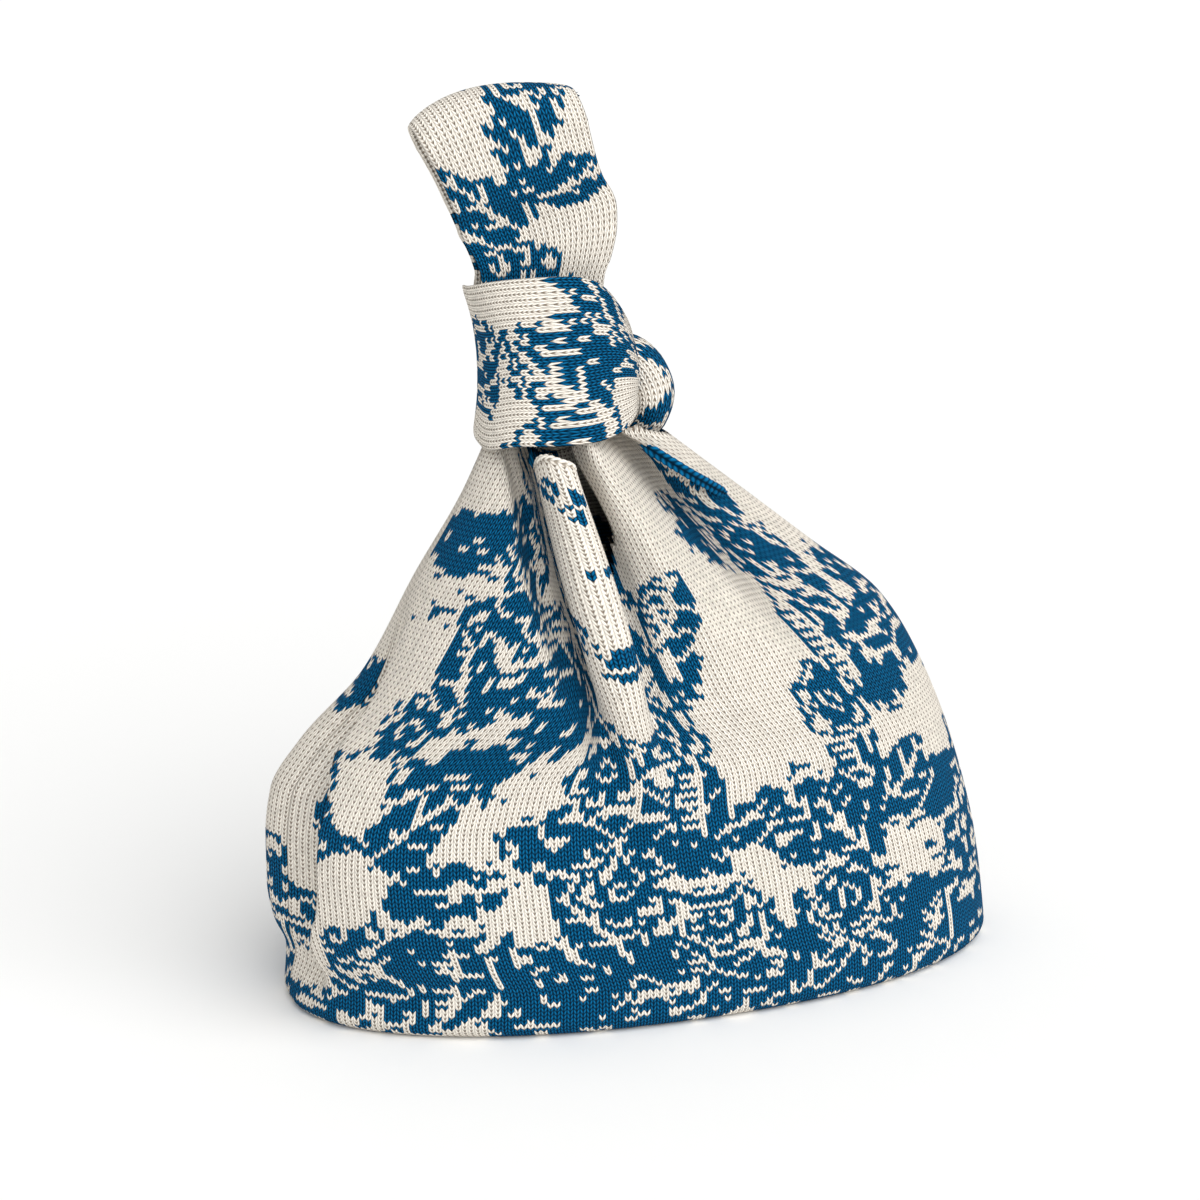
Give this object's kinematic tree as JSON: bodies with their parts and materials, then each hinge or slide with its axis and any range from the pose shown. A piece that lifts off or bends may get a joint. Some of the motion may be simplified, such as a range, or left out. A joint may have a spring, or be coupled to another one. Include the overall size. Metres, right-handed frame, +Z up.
{
  "type": "japanese knot bag",
  "caption": "Knitted two-handle wrist bag: the long handle passes through the short one, which closes the gathered mouth as a knot; oval base, free-standing.",
  "frame": {"origin": "centre of the base's outer face, on the surface the bag stands on", "axes": "+Z up towards the handles, +X to the right across the width, -Y towards the front with the gathered pleat"},
  "size_m": [0.2912, 0.1374, 0.351],
  "materials": {
    "jacquard_knit": "two-colour ivory and blue stitches, matte",
    "ivory_yarn": "matte chain stitch",
    "blue_yarn": "matte linking stitch"
  },
  "bodies": {
    "bag": {"front_panel": "jacquard_knit", "back_panel": "jacquard_knit", "base_panel": "jacquard_knit", "left_side_seam": "blue_yarn", "right_side_seam": "blue_yarn", "base_seam": "blue_yarn", "front_mouth_rim": "ivory_yarn", "back_mouth_rim": "ivory_yarn", "shoulder_edge_chain": "blue_yarn", "long_handle_front_root": "jacquard_knit", "long_handle_back_root": "jacquard_knit"},
    "knot": {"short_handle_front_band": "jacquard_knit", "short_handle_back_band": "jacquard_knit", "short_handle_seam": "blue_yarn", "short_handle_turned_leg": "jacquard_knit"},
    "handle_loop": {"long_handle_front_loop": "jacquard_knit", "long_handle_back_loop": "jacquard_knit", "long_handle_top_seam": "blue_yarn"}
  },
  "joints": [
    {"name": "knot_slide", "type": "slide", "parent": "bag", "child": "knot", "axis": [-0.1409, 0, 0.99], "range_m": [0, 0.008]},
    {"name": "handle_swing", "type": "hinge", "parent": "bag", "child": "handle_loop", "pos_m": [-0.04381, 0, 0.301], "axis": [0.9744, 0, 0.225], "range_deg": [-65, 65]}
  ]
}
